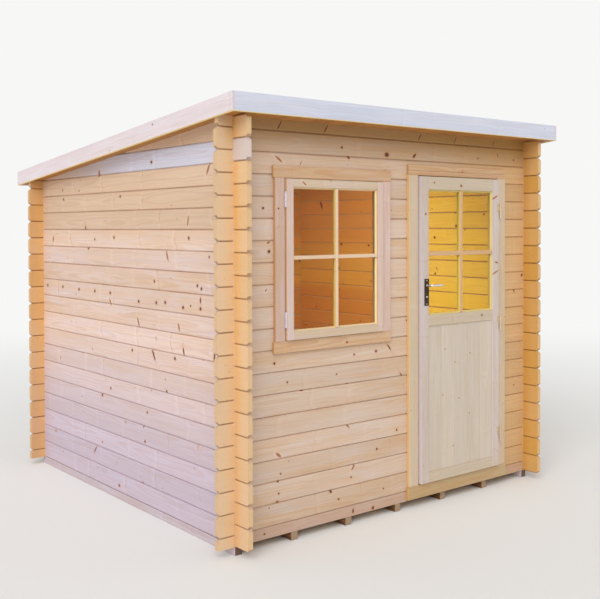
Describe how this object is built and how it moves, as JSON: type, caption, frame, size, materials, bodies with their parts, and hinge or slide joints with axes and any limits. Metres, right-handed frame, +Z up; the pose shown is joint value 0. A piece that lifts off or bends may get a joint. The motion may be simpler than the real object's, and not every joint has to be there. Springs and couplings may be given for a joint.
{
  "type": "log cabin",
  "caption": "Small garden log cabin with a single-slope roof, interlocked log walls, a half-glazed side-hung door and a glazed window, standing on floor bearers.",
  "frame": {"origin": "on the ground, under the middle of the roof and walls in plan", "axes": "+X to the right along the door wall, +Y from the door wall to the back, +Z up"},
  "size_m": [2.554, 2.686, 2.309],
  "materials": {
    "log_wood": "planed pale spruce with knots",
    "bearer_wood": "rough treated timber",
    "board_wood": "planed boards",
    "fascia_wood": "planed, very pale in daylight",
    "trim_wood": "planed trim",
    "joinery_wood": "fine planed joinery",
    "glass": "clear",
    "hinge_steel": "zinc plated",
    "felt": "mineral roofing felt",
    "dark_plate": "dark bronze",
    "lever_steel": "bright"
  },
  "bodies": {
    "cabin": {"floor_bearers": "bearer_wood", "floor_base": "board_wood", "left_logs_a": "log_wood", "left_logs_b": "log_wood", "right_logs_a": "log_wood", "right_logs_b": "log_wood", "back_logs_a": "log_wood", "back_logs_b": "log_wood", "front_left_logs_a": "log_wood", "front_left_logs_b": "log_wood", "front_right_logs_a": "log_wood", "front_right_logs_b": "log_wood", "front_top_logs_a": "log_wood", "front_top_logs_b": "log_wood", "purlins": "board_wood", "roof_deck": "board_wood", "roof_felt": "felt", "front_fascia": "fascia_wood", "back_fascia": "fascia_wood", "side_fascias": "fascia_wood", "window_frame": "trim_wood", "window_trim_uprights": "trim_wood", "window_trim_rails": "trim_wood", "window_inner_trim": "trim_wood", "sash_stiles": "joinery_wood", "sash_rails": "joinery_wood", "window_glass": "glass", "window_hinges": "hinge_steel", "door_jambs": "trim_wood", "door_head": "trim_wood", "threshold": "trim_wood", "door_trim_uprights": "trim_wood", "door_trim_head": "trim_wood", "door_inner_trim": "trim_wood", "hinge_pins": "hinge_steel"},
    "door": {"door_stiles": "joinery_wood", "door_rails": "joinery_wood", "door_panel": "joinery_wood", "door_glass": "glass", "hinge_leaves": "hinge_steel", "lock_plates": "dark_plate"},
    "lever": {"door_lever": "lever_steel"}
  },
  "joints": [
    {"name": "door_hinge", "type": "hinge", "parent": "cabin", "child": "door", "pos_m": [0.848, -1.232, 1.043], "axis": [0, 0, 1], "range_deg": [0, 110]},
    {"name": "lever_turn", "type": "hinge", "parent": "door", "child": "lever", "pos_m": [0.182, -1.226, 1.309], "axis": [0, 1, 0], "range_deg": [0, 40], "stiffness_Nm_per_rad": 0.8, "springref_deg": -22.92}
  ]
}
